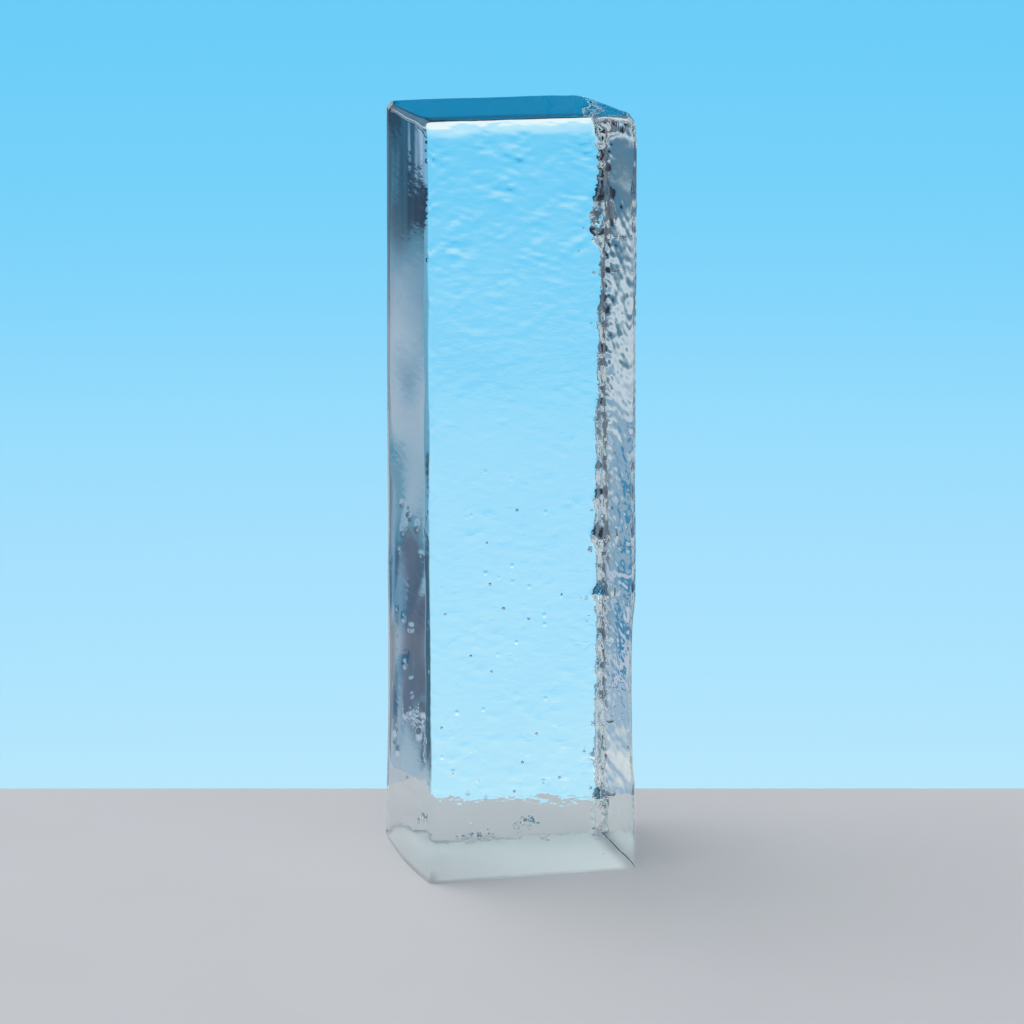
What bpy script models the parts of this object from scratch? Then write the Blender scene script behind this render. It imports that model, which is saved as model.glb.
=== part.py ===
"""Ice stick for a tall drink: one block of clear ice, cut square and a little melted.

Metres, +Z up. The origin is at the middle of the flat base. The front face looks
along -Y and the right face along +X. The stick stands on its base.
"""
import math

import bmesh
import bpy
from mathutils import Vector, noise

# Size of the block as sawn: its ends aren't quite true, so each corner has its own place.
# Corners run front left, front right, back right, back left.
WIDTH = 0.034
DEPTH = 0.030
HEIGHT = 0.1186
BASE_CORNERS = ((-0.01665, -0.0155), (0.01685, -0.0151), (0.01675, 0.0143), (-0.01705, 0.0155))
TOP_CORNERS = ((-0.01665, -0.0137), (0.01685, -0.0139), (0.01705, 0.0147), (-0.01655, 0.0143))

# How far the upright, top and base edges have melted round
SIDE_RADIUS = 0.0008
TOP_RADIUS = 0.0010
BASE_RADIUS = 0.0009
# The front left edge has melted more along its whole length, from above the base
FRONT_LEFT_RADIUS = 0.0014
FRONT_LEFT_REACH = 0.006
# The top front right corner has melted most
SOFT_CORNER_RADIUS = 0.0022
SOFT_CORNER_REACH = 0.0055

# Spacing of the surface points: fine in the rounded and chipped edges, wider on the faces
NEAR_CUTS = (0.0004, 0.0013)
FAR_CUTS = (0.0004, 0.0013, 0.0026)
FACE_STEPS = (0.0028, 0.0026, 0.0019)

# Slow swells that melting leaves on every face, and a slight bulge of the left and right faces
SWELL_DEPTH = 0.0002
SWELL_LENGTH = 0.022
BOW = 0.0003

# A soft chamfer under the top edge of the front face
LIP_SLOPE = 0.5
LIP_HEIGHT = 0.0020

# Pebbled relief on the right face: lumps longer from front to back than they are tall
PEBBLE_DEPTH = 0.00035
PEBBLE_HEIGHT = 0.0050
PEBBLE_LENGTH = 0.0090
PEBBLE_SPREAD = 1.35

# Long upright flutes at the top of the left face, slanting ledges lower down
FLUTE_DEPTH = 0.00035
FLUTE_WIDTH = 0.0052
FLUTE_FOOT = 0.080
LEDGE_DEPTH = 0.0004
LEDGE_PITCH = 0.0135
LEDGE_TOP = 0.066
LEDGE_FOOT = 0.012
LEDGE_SLANT = math.radians(62)

# The back right edge is chipped to an uneven chamfer
CHIP_WIDTH = 0.0012
CHIP_SWAY = 0.0004
CHIP_LENGTH = 0.0031
# Larger chips in it: height of the middle, extra width, reach up and down
CHIPS = (
    (0.0045, 0.0010, 0.0030),
    (0.0130, 0.0008, 0.0018),
    (0.0275, 0.0005, 0.0060),
    (0.0366, 0.0005, 0.0014),
    (0.0390, 0.0011, 0.0016),
    (0.0486, 0.0011, 0.0018),
    (0.0544, 0.0009, 0.0014),
    (0.0610, 0.0005, 0.0030),
    (0.0795, 0.0008, 0.0016),
    (0.0850, 0.0009, 0.0022),
    (0.1000, 0.0013, 0.0054),
    (0.1120, 0.0006, 0.0020),
)

# The front right edge is worn back between these heights
WORN_FOOT = 0.012
WORN_TOP = 0.044
WORN_DEPTH = 0.0005

# Relief fades out over this height above the base, so that the base stays flat
BASE_FADE = 0.0030

ICE_COLOUR = (0.80, 0.92, 1.0)
ICE_IOR = 1.31
ICE_ROUGHNESS = 0.03


def clear_scene():
    """Remove every object that the file holds."""
    for old in list(bpy.data.objects):
        bpy.data.objects.remove(old, do_unlink=True)


def ice_material():
    """Clear ice: full transmission with a faint blue cast."""
    material = bpy.data.materials.new("clear_ice")
    material.use_nodes = True
    shader = material.node_tree.nodes["Principled BSDF"]
    shader.inputs["Base Color"].default_value = (*ICE_COLOUR, 1.0)
    shader.inputs["Roughness"].default_value = ICE_ROUGHNESS
    shader.inputs["Metallic"].default_value = 0.0
    shader.inputs["Transmission Weight"].default_value = 1.0
    shader.inputs["IOR"].default_value = ICE_IOR
    return material


def smooth(x):
    """Ease from 0 to 1 as x goes from 0 to 1."""
    x = min(max(x, 0.0), 1.0)
    return x * x * (3.0 - 2.0 * x)


def cut_places(length, step):
    """Places of the cuts across a side: close together at its ends, even between."""
    inner = length - NEAR_CUTS[-1] - FAR_CUTS[-1]
    count = round(inner / step)
    even = [NEAR_CUTS[-1] + inner * i / count for i in range(count + 1)]
    return [NEAR_CUTS[0], *even, *(length - place for place in FAR_CUTS[:-1])]


def cut_block():
    """A box with its base at z = 0, cut by planes into a grid of four-sided faces."""
    block = bmesh.new()
    bmesh.ops.create_cube(block, size=1.0)
    bmesh.ops.scale(block, vec=(WIDTH, DEPTH, HEIGHT), verts=block.verts)
    bmesh.ops.translate(block, vec=(0.0, 0.0, HEIGHT / 2.0), verts=block.verts)
    starts = (-WIDTH / 2.0, -DEPTH / 2.0, 0.0)
    for axis, length in enumerate((WIDTH, DEPTH, HEIGHT)):
        for place in cut_places(length, FACE_STEPS[axis]):
            point = Vector((0.0, 0.0, 0.0))
            point[axis] = starts[axis] + place
            normal = Vector((0.0, 0.0, 0.0))
            normal[axis] = 1.0
            everything = list(block.verts) + list(block.edges) + list(block.faces)
            bmesh.ops.bisect_plane(block, geom=everything, dist=1e-7, plane_co=point, plane_no=normal)
    return block


def edge_radius(point):
    """Radius of the melted edge near a point: larger along the front left edge and at one corner."""
    lower = smooth(point.z / (HEIGHT / 8.0))
    upper = smooth((point.z - HEIGHT * 7.0 / 8.0) / (HEIGHT / 8.0))
    radius = BASE_RADIUS + (SIDE_RADIUS - BASE_RADIUS) * lower + (TOP_RADIUS - SIDE_RADIUS) * upper
    aside = math.hypot(point.x + WIDTH / 2.0, point.y + DEPTH / 2.0)
    radius += (FRONT_LEFT_RADIUS - radius) * lower * smooth(1.0 - aside / FRONT_LEFT_REACH)
    radius *= 1.0 + 0.3 * noise.noise(point / 0.009)
    corner = Vector((WIDTH / 2.0, -DEPTH / 2.0, HEIGHT))
    softness = smooth(1.0 - (point - corner).length / SOFT_CORNER_REACH)
    return radius + (SOFT_CORNER_RADIUS - radius) * softness


def rounded(point):
    """The point moved on to the rounded block, and the way out of the block there."""
    radius = edge_radius(point)
    core_low = Vector((-WIDTH / 2.0 + radius, -DEPTH / 2.0 + radius, radius))
    core_high = Vector((WIDTH / 2.0 - radius, DEPTH / 2.0 - radius, HEIGHT - radius))
    core = Vector([min(max(p, low), high) for p, low, high in zip(point, core_low, core_high)])
    outward = (point - core).normalized()
    return core + outward * radius, outward


def sawn(point):
    """The point moved from the true block to the sawn one, by a blend of the corners' shifts."""
    up = point.z / HEIGHT
    across = point.x / WIDTH + 0.5
    along = point.y / DEPTH + 0.5
    near, far = 1.0 - along, along
    shares = ((1.0 - across) * near, across * near, across * far, (1.0 - across) * far)
    square = ((-1, -1), (1, -1), (1, 1), (-1, 1))
    moved = point.copy()
    for share, (side, end), low, high in zip(shares, square, BASE_CORNERS, TOP_CORNERS):
        moved.x += share * (low[0] + (high[0] - low[0]) * up - side * WIDTH / 2.0)
        moved.y += share * (low[1] + (high[1] - low[1]) * up - end * DEPTH / 2.0)
    return moved


def chip_width(height):
    """Width of the chipped chamfer at a height."""
    width = CHIP_WIDTH + CHIP_SWAY * noise.noise(Vector((0.0, 0.0, height / CHIP_LENGTH)))
    for middle, extra, reach in CHIPS:
        width += extra * smooth(1.0 - abs(height - middle) / reach)
    return width


def chipped(point):
    """The point moved in from the back right edge, on to the chamfer if it is on a face."""
    up = point.z / HEIGHT
    corner = [low + (high - low) * up for low, high in zip(BASE_CORNERS[2], TOP_CORNERS[2])]
    from_edge = max(corner[0] - point.x, corner[1] - point.y)
    over = max(chip_width(point.z) - from_edge, 0.0)
    return point - Vector((over / 2.0, over / 2.0, 0.0))


def lip(point):
    """Depth of the chamfer under the top edge of the front face."""
    return LIP_SLOPE * max(LIP_HEIGHT - (HEIGHT - point.z), 0.0)


def bow(point):
    """A slight bulge across the depth: nothing at the front and back edges, most at the middle."""
    return (point.y / (DEPTH / 2.0)) ** 2 - 1.0


def pebbles(point):
    """Rounded lumps with grooves between them: depth below the crowns, 0 to 1."""
    scaled = Vector((point.x / PEBBLE_HEIGHT, point.y / PEBBLE_LENGTH, point.z / PEBBLE_HEIGHT))
    distances, _ = noise.voronoi(scaled)
    return smooth(distances[0] * PEBBLE_SPREAD)


def flutes(point):
    """Long upright grooves that fade out below FLUTE_FOOT."""
    stretched = Vector((point.x, point.y / FLUTE_WIDTH, point.z / (6.0 * FLUTE_WIDTH)))
    fade = smooth((point.z - FLUTE_FOOT) / 0.02)
    return fade * smooth(0.5 + noise.noise(stretched) * 1.3)


def ledges(point):
    """Slanting steps, each rising slowly and falling back quickly."""
    along = point.y * math.sin(LEDGE_SLANT) + point.z * math.cos(LEDGE_SLANT)
    along += 0.003 * noise.noise(point / 0.014)
    phase = (along / LEDGE_PITCH) % 1.0
    step = smooth(phase / 0.75) if phase < 0.75 else smooth((1.0 - phase) / 0.25)
    fade = smooth((point.z - LEDGE_FOOT) / 0.01) * smooth((LEDGE_TOP - point.z) / 0.01)
    return fade * step


def worn_edge(point):
    """Slow wear of the front right edge between WORN_FOOT and WORN_TOP."""
    from_edge = math.hypot(point.x - WIDTH / 2.0, point.y + DEPTH / 2.0)
    up = smooth((point.z - WORN_FOOT) / 0.006) * smooth((WORN_TOP - point.z) / 0.003)
    return up * smooth(1.0 - from_edge / (WIDTH * 0.8))


def melt_depth(point, outward):
    """How far the surface has melted in at a point, in metres."""
    right = max(outward.x, 0.0) ** 2
    left = max(-outward.x, 0.0) ** 2
    front = max(-outward.y, 0.0) ** 2
    depth = SWELL_DEPTH * smooth(0.5 + 0.9 * noise.noise(point / SWELL_LENGTH + Vector((5.0, 0.0, 0.0))))
    depth += (left + right) * BOW * bow(point)
    depth += front * lip(point)
    depth += right * PEBBLE_DEPTH * pebbles(point)
    depth += left * (FLUTE_DEPTH * flutes(point) + LEDGE_DEPTH * ledges(point))
    depth += right * WORN_DEPTH * worn_edge(point)
    return depth * smooth(point.z / BASE_FADE)


def melt(block):
    """Round the block's edges, move it to its sawn shape, chip one edge and sink its faces."""
    for vertex in block.verts:
        place, outward = rounded(vertex.co)
        vertex.co = chipped(sawn(place)) - outward * melt_depth(place, outward)


def join_base(block):
    """Make the flat base one face."""
    base = [face for face in block.faces if all(abs(v.co.z) < 1e-6 for v in face.verts)]
    bmesh.ops.dissolve_faces(block, faces=base, use_verts=True)


def ice_stick():
    """The whole stick, as one solid with its own material."""
    block = cut_block()
    melt(block)
    join_base(block)
    bmesh.ops.recalc_face_normals(block, faces=block.faces)
    mesh = bpy.data.meshes.new("ice_stick")
    block.to_mesh(mesh)
    block.free()
    mesh.shade_smooth()
    mesh.set_sharp_from_angle(angle=math.radians(50))
    mesh.materials.append(ice_material())
    stick = bpy.data.objects.new("ice_stick", mesh)
    bpy.context.scene.collection.objects.link(stick)
    return stick


clear_scene()
ice_stick()
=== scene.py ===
# %% [markdown]
# # A stick of clear ice
# This is a block of clear ice, cut to stand in a tall glass. It is one piece of one material, so
# its looks come from two things: the fine shape that melting leaves on each face, and what light
# does as it passes through. They are built in this order: the view, the floor, the light of the
# room, the melted surface, and the ice itself.

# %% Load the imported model
import math

import bpy
import numpy as np
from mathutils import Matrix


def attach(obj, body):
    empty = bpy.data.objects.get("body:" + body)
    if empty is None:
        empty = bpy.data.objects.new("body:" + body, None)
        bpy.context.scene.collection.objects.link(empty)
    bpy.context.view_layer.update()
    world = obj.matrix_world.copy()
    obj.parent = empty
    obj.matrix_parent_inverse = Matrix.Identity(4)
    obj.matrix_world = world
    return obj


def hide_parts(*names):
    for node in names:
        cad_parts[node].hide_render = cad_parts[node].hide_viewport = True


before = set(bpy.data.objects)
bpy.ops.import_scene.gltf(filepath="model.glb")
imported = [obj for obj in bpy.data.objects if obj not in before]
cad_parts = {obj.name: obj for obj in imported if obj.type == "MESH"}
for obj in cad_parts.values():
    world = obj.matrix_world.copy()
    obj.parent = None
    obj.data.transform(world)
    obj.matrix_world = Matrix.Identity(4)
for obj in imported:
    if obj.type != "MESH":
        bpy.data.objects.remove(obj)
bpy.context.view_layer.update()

HEIGHT = 0.1186

# %% [markdown]
# ## The view
# A long lens from a little above eye level keeps the upright edges almost parallel. The stick is
# turned so that its front face looks past the camera and its left face shows as a narrow strip.
# The camera could follow a target object, but a place and two angles say the same in fewer steps.

# %% Camera
LENS, VIEW_DISTANCE, VIEW_HEIGHT = 160.6, 0.6993, 0.2028
VIEW_TURN, VIEW_PITCH = math.radians(14.14), math.radians(11.93)
VIEW_CENTRE = np.array([0.00037, 0.00004, 0])
AHEAD = np.array([math.sin(VIEW_TURN), math.cos(VIEW_TURN), 0])
ASIDE = np.array([math.cos(VIEW_TURN), -math.sin(VIEW_TURN), 0])

scene = bpy.context.scene
camera_data = bpy.data.cameras.new("camera")
camera_data.lens = LENS
camera_data.sensor_width = 36
camera_data.sensor_fit = "HORIZONTAL"
camera_data.clip_start = 0.01
camera = bpy.data.objects.new("camera", camera_data)
camera.location = VIEW_CENTRE - VIEW_DISTANCE * AHEAD + np.array([0, 0, VIEW_HEIGHT])
camera.rotation_euler = (math.pi / 2 - VIEW_PITCH, 0, -VIEW_TURN)
scene.collection.objects.link(camera)
scene.camera = camera
scene.view_settings.view_transform = "Standard"
print("camera at", tuple(round(c, 4) for c in camera.location))

# %% [markdown]
# ## Colours and node helpers
# Colours are easier to judge as screen values from 0 to 255, and a renderer counts in amounts of
# light, so each one is turned into light once. Small helpers then keep node trees readable: they
# add a node, set or link its inputs, work out sums and products, ease a value from 0 to 1, mix two
# colours, and run through a list of colours.

# %% Screen colours
FULL = 255
CURVE_START, CURVE_SLOPE, CURVE_LIFT, CURVE_POWER = 0.04045, 12.92, 0.055, 2.4


def light_of(red, green, blue):
    """Amounts of light for a screen colour: a small share of full is divided by the slope.

    A larger share has the lift added, is divided by 1 plus the lift, and is raised to the power.
    """
    share = np.array([red, green, blue]) / FULL
    lifted = ((share + CURVE_LIFT) / (1 + CURVE_LIFT)) ** CURVE_POWER
    curved = np.where(share <= CURVE_START, share / CURVE_SLOPE, lifted)
    return (*curved.tolist(), 1)


print("a mid grey holds", round(light_of(128, 128, 128)[0], 3), "of the light")


# %% Helpers for nodes
def add_node(tree, kind, **settings):
    """A new node of one kind, with its settings."""
    node = tree.nodes.new(kind)
    for name, value in settings.items():
        setattr(node, name, value)
    return node


def feed(tree, node, *values):
    """Set or link a node's inputs in order: a plain value is set, a socket is linked."""
    for socket, value in zip(node.inputs, values):
        if isinstance(value, bpy.types.NodeSocket):
            tree.links.new(value, socket)
        elif value is not None:
            socket.default_value = value
    return node


def set_inputs(node, **values):
    """Set a node's inputs by name, where an underscore stands for a space."""
    for name, value in values.items():
        node.inputs[name.replace("_", " ")].default_value = value
    return node


def maths(tree, operation, *values):
    """The result of one sum, product or function of plain numbers and sockets."""
    return feed(tree, add_node(tree, "ShaderNodeMath", operation=operation), *values).outputs[0]


def product(tree, *values):
    """All the values multiplied together, from the first to the last."""
    total = values[0]
    for value in values[1:]:
        total = maths(tree, "MULTIPLY", total, value)
    return total


def dot(tree, socket, vector):
    """The length of a direction along another one."""
    node = add_node(tree, "ShaderNodeVectorMath", operation="DOT_PRODUCT")
    feed(tree, node, socket, tuple(float(v) for v in vector))
    return node.outputs["Value"]


def ease(tree, socket, low, high):
    """Rise smoothly from 0 at low to 1 at high."""
    node = add_node(tree, "ShaderNodeMapRange", interpolation_type="SMOOTHSTEP")
    feed(tree, node, socket, low, high, 0, 1)
    return node.outputs[0]


def blend(tree, share, first, second):
    """Mix two colours by a share."""
    node = add_node(tree, "ShaderNodeMix", data_type="RGBA")
    tree.links.new(share, node.inputs["Factor"])
    for name, colour in (("A", first), ("B", second)):
        socket = [s for s in node.inputs if s.name == name and s.type == "RGBA"][0]
        if isinstance(colour, bpy.types.NodeSocket):
            tree.links.new(colour, socket)
        else:
            socket.default_value = colour
    return [s for s in node.outputs if s.type == "RGBA"][0]


def ramp(tree, socket, low, high, stops):
    """A run of colours: each stop is a value from low to high, then red, green and blue."""
    share = add_node(tree, "ShaderNodeMapRange")
    feed(tree, share, socket, low, high, 0, 1)
    node = add_node(tree, "ShaderNodeValToRGB")
    tree.links.new(share.outputs[0], node.inputs[0])
    elements = node.color_ramp.elements
    while len(elements) < len(stops):
        elements.new(0.5)
    for element, (value, *colour) in zip(elements, sorted(stops)):
        element.position = (value - low) / (high - low)
        element.color = light_of(*colour)
    return node.outputs[0]


print("helpers made, from", add_node.__name__, "to", ramp.__name__)

# %% [markdown]
# ## The floor
# The stick stands on a plain pale slab, which ends a short way behind it, so the backdrop starts
# low and shows through the ice. A cube could be stretched for it, but its ends have to lie square
# to the view, so its eight corners are worked out. A film of meltwater joins the base to the slab:
# light inside the ice then reaches the slab and doesn't turn back at the base. The slab's top
# stands a hair above the base to give that contact.

# %% Pale slab
SLAB_BEHIND, SLAB_BEFORE = 0.03685, 0.40
SLAB_HALF_WIDTH, SLAB_THICKNESS = 0.30, 0.12
FILM = 0.00015
# The second colour is a painted pool of light: paler paint on the slab under the stick, standing in
# for light that passes through the ice.
PALE, PAINTED_POOL = (180, 181, 184), (226, 227, 229)
PAINTED_POOL_ACROSS, PAINTED_POOL_ALONG = (0.0165, 0.0140), (0.0150, 0.0125)
CLOUD_SCALE, CLOUD_SHARE = 30, 0.06
PAINT_ROUGHNESS, PAINT_GLOSS = 0.7, 0.3


def make_slab():
    """Eight corners: two ends, two sides, top and bottom, laid square to the view."""
    ends = np.array([-SLAB_BEFORE, SLAB_BEHIND])
    sides = np.array([-SLAB_HALF_WIDTH, SLAB_HALF_WIDTH])
    levels = np.array([FILM - SLAB_THICKNESS, FILM])
    level, end, side = (grid.ravel() for grid in np.meshgrid(levels, ends, sides, indexing="ij"))
    points = end[:, None] * AHEAD + side[:, None] * ASIDE
    points[:, 2] = level
    faces = [(4, 5, 7, 6), (0, 2, 3, 1), (0, 1, 5, 4), (2, 6, 7, 3), (0, 4, 6, 2), (1, 3, 7, 5)]
    mesh = bpy.data.meshes.new("slab")
    mesh.from_pydata(points.tolist(), [], faces)
    slab = bpy.data.objects.new("slab", mesh)
    scene.collection.objects.link(slab)
    return slab


def slab_finish():
    """Pale matt paint, with a painted pool of light under the stick's base, and a faint uneven
    tone.
    """
    material = bpy.data.materials.new("pale_paint")
    material.use_nodes = True
    tree = material.node_tree
    shader = tree.nodes["Principled BSDF"]
    place = add_node(tree, "ShaderNodeTexCoord").outputs["Object"]
    parts = feed(tree, add_node(tree, "ShaderNodeSeparateXYZ"), place)
    aside, along = (maths(tree, "ABSOLUTE", parts.outputs[axis]) for axis in (0, 1))
    # Painted pool of light: the share of paler paint, full under the stick's base and eased away
    # round it.
    painted_pool_share = product(tree, ease(tree, aside, *PAINTED_POOL_ACROSS), ease(tree, along, *PAINTED_POOL_ALONG))
    cloud = feed(tree, add_node(tree, "ShaderNodeTexNoise"), place)
    set_inputs(cloud, Scale=CLOUD_SCALE)
    tone = maths(tree, "MULTIPLY_ADD", cloud.outputs[0], CLOUD_SHARE, 1 - CLOUD_SHARE / 2)
    paint = add_node(tree, "ShaderNodeVectorMath", operation="SCALE")
    tree.links.new(blend(tree, painted_pool_share, light_of(*PALE), light_of(*PAINTED_POOL)), paint.inputs[0])
    tree.links.new(tone, paint.inputs["Scale"])
    tree.links.new(paint.outputs[0], shader.inputs["Base Color"])
    set_inputs(shader, Roughness=PAINT_ROUGHNESS, Specular_IOR_Level=PAINT_GLOSS)
    return material


slab = make_slab()
slab.data.materials.append(slab_finish())
print("slab ends", round(SLAB_BEHIND * 1000, 1), "mm behind the stick's axis")

# %% [markdown]
# ## The light of the room
# Clear ice has hardly any colour of its own: it shows the room, bent. Real screens and lamps could
# be built, but they would get in the way of other views, and the ice needs only what comes from
# each direction. So a world shader lays the room out by two angles: the turn, to the right of
# straight ahead, and the rise, up from level. The backdrop is blue, and paler low down.

# %% Colours of the backdrop
# Each stop: a rise, then red, green and blue.
BACKDROP = [
    (-90, 0, 84, 132), (-57, 0, 126, 176), (-51, 8, 40, 56), (-32, 30, 50, 60),
    (-27.5, 240, 250, 254), (-19.5, 240, 251, 255), (-17, 190, 236, 254), (-15.1, 182, 231, 253),
    (-13.8, 173, 228, 254), (-12.3, 165, 224, 254), (-10.9, 153, 221, 253), (-9.4, 134, 214, 252),
    (-8, 120, 210, 250), (-5.8, 107, 205, 248), (-4, 84, 190, 236), (-1.5, 30, 150, 202),
    (4, 0, 140, 190), (10, 0, 138, 188), (25, 64, 82, 98), (90, 60, 68, 78),
]
NEAR_LEVELS = (-18, -5)
NEAR_ZONES = ((-18, -15.5), (-4, -5.8))


def backdrop_colour(tree, rise):
    """The backdrop by rise: a close run of colours near level, eased into the whole run."""
    low, high = NEAR_LEVELS
    close = ramp(tree, rise, low, high, [stop for stop in BACKDROP if low < stop[0] < high])
    wide = ramp(tree, rise, -90, 90, BACKDROP)
    near = product(tree, *(ease(tree, rise, *zone) for zone in NEAR_ZONES))
    return blend(tree, near, wide, close)


print("backdrop of", len(BACKDROP), "colours")

# %% [markdown]
# ## Screens at the sides
# The left and the right face turn the eye far to the side. On each side the room has a narrow gap
# past the backdrop, then a grey screen, then the dark, with the rest of the room behind. A chipped
# edge gathers light from the gap and the screen at once, so it looks dark and mottled. Small soft
# cards on the screens give the streaks inside the side faces.

# %% Tones of the screens
RIGHT_SCREEN = [
    (-18, 194, 200, 206), (-16, 164, 182, 198), (-14.5, 120, 152, 176), (-12.7, 108, 154, 182),
    (-12.1, 120, 162, 188), (-11.3, 150, 174, 194), (-10.6, 150, 172, 192), (-9.8, 130, 164, 190),
    (-9, 92, 140, 168), (-8.2, 34, 76, 102), (-7.2, 28, 82, 112), (-5, 40, 100, 132),
]
LEFT_SCREEN = [
    (-18, 214, 218, 222), (-16.3, 188, 200, 210), (-15.2, 146, 174, 198), (-14.5, 158, 180, 202),
    (-13.6, 186, 194, 210), (-12.7, 114, 156, 184), (-11.9, 140, 166, 188),
    (-11.3, 134, 164, 186), (-10.5, 184, 198, 212), (-9.6, 200, 212, 222), (-8.9, 140, 164, 182),
    (-8.3, 98, 128, 148), (-7.6, 76, 124, 154), (-7.15, 72, 120, 150), (-6.95, 44, 46, 54),
    (-5, 44, 46, 54),
]
RIGHT_GAP = [
    (-18, 190, 200, 206), (-15.8, 150, 175, 190), (-15, 58, 95, 115), (-12.8, 54, 88, 108),
    (-12.2, 100, 155, 185), (-8.9, 112, 170, 200), (-8.6, 40, 62, 88), (-8.1, 44, 66, 92),
    (-7.9, 120, 176, 210), (-5, 100, 170, 210),
]
LEFT_GAP = [
    (-18, 176, 186, 194), (-15.4, 132, 156, 174), (-12.2, 122, 150, 170), (-11.7, 84, 92, 104),
    (-10.7, 84, 90, 102), (-10.2, 126, 150, 168), (-8.9, 120, 148, 168), (-8.3, 84, 104, 122),
    (-7.5, 92, 118, 138), (-7.3, 38, 36, 42), (-5, 38, 36, 42),
]
DARK_RIGHT, DARK_LEFT, LOW_SIDES = (30, 66, 90), (86, 92, 106), (84, 124, 152)
REST_OF_ROOM = (114, 122, 134)
print("screens of", len(RIGHT_SCREEN), "and", len(LEFT_SCREEN), "tones")

# %% Cards and sides
# Each card: turn and rise of its middle, half its width and height, lean, colour.
RIGHT_CARDS = [
    (41, -7.5, 2.6, 0.45, 0, (160, 190, 220)), (42, -8.35, 3.2, 0.34, 0, (28, 42, 66)),
    (50.2, -11.9, 2.8, 0.80, 6.7, (74, 136, 162)), (45, -13.45, 3.9, 0.90, 1.2, (44, 62, 92)),
    (52.5, -14, 2, 0.40, 0, (96, 116, 122)), (52, -14.8, 2.2, 0.42, 2, (56, 72, 96)),
    (43.5, -14.8, 2, 0.50, 1, (60, 88, 110)), (44, -14.7, 0.7, 0.60, 5, (168, 184, 202)),
]
LEFT_CARDS = [
    (-23.5, -11.2, 3.5, 0.18, 0, (70, 140, 176)), (-24, -12.7, 4.5, 0.50, 0, (58, 130, 172)),
    (-27, -14.1, 4.5, 0.16, 0, (70, 130, 170)),
]
CARD_ENDS, CARD_TIPS = (1.5, 0.5), (1.4, 0.6)
# Turns between which a side starts, its screen starts, its dark starts, and it ends.
RIGHT_TURNS = ((10, 15), (36, 41), (51.5, 55), (112, 92))
LEFT_TURNS = ((-9, -12.5), (-15.5, -19.5), (-38, -52), (-95, -75))
SCREEN_SLANT, SCREEN_LIFT = -0.048, 2.3


def hang_cards(tree, turn, rise, cards, colour):
    """Soft-edged cards: each fills an oblong of turn and rise, whose middle leans as it rises."""
    for middle, level, wide, tall, lean, tone in cards:
        up = maths(tree, "SUBTRACT", rise, level)
        aside = maths(tree, "MULTIPLY_ADD", up, -lean, maths(tree, "SUBTRACT", turn, middle))
        across = maths(tree, "DIVIDE", maths(tree, "ABSOLUTE", aside), wide)
        along = maths(tree, "DIVIDE", maths(tree, "ABSOLUTE", up), tall)
        share = product(tree, ease(tree, across, *CARD_ENDS), ease(tree, along, *CARD_TIPS))
        colour = blend(tree, share, colour, light_of(*tone))
    return colour


RIGHT = (RIGHT_TURNS, RIGHT_GAP, RIGHT_SCREEN, RIGHT_CARDS, DARK_RIGHT)
LEFT = (LEFT_TURNS, LEFT_GAP, LEFT_SCREEN, LEFT_CARDS, DARK_LEFT)


def side_of_room(tree, turn, rise, screen_rise, side):
    """How far a direction is within one side, and its colour: gap, screen with cards, dark."""
    turns, gap, screen, cards, dark = side
    start, screen_start, dark_start, end = turns
    screen = ramp(tree, screen_rise, *NEAR_LEVELS, screen)
    colour = blend(tree, ease(tree, turn, *dark_start), screen, light_of(*dark))
    colour = hang_cards(tree, turn, rise, cards, colour)
    gap = ramp(tree, rise, *NEAR_LEVELS, gap)
    colour = blend(tree, ease(tree, turn, *screen_start), gap, colour)
    return product(tree, ease(tree, turn, *start), ease(tree, turn, *end)), colour


print("cards:", len(RIGHT_CARDS), "on the right,", len(LEFT_CARDS), "on the left")

# %% [markdown]
# ## Lamps and the whole room
# Two broad soft lamps are high up: one behind the view on the left gives even light, and one far to
# the left gives the shadow on the slab. Wet ice would mirror them as hard white spots, so a
# mirrored or bent ray finds them dimmer than the slab does.

# %% Room
# Each lamp: turn, rise, cosine of the angle from its middle to its edge, amount of light.
LAMPS = [(-170, 65, 0.80, 2), (-62, 55, 0.74, 3.4)]
LAMP_CORE, GLEAM = 0.95, 0.5
LOWER_ZONES, LOWER_TURNS = ((-19, -21.5), (-49, -43)), (12, 17)
LEVEL_ZONES, BEHIND_TURNS = ((25, 5), (-23, -20)), (70, 95)
BOUNCES = 32


def direction(turn, rise):
    """A direction: turned to the right from straight ahead, then raised, in degrees."""
    turn, rise = math.radians(turn), math.radians(rise)
    flat = math.cos(turn) * AHEAD + math.sin(turn) * ASIDE
    return math.cos(rise) * flat + np.array([0, 0, math.sin(rise)])


def look_angles(tree, look):
    """Turn and rise of the direction that is looked in, in degrees."""
    rise = maths(tree, "ARCSINE", dot(tree, look, (0, 0, 1)))
    turn = maths(tree, "ARCTAN2", dot(tree, look, ASIDE), dot(tree, look, AHEAD))
    return maths(tree, "DEGREES", turn), maths(tree, "DEGREES", rise)


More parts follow.
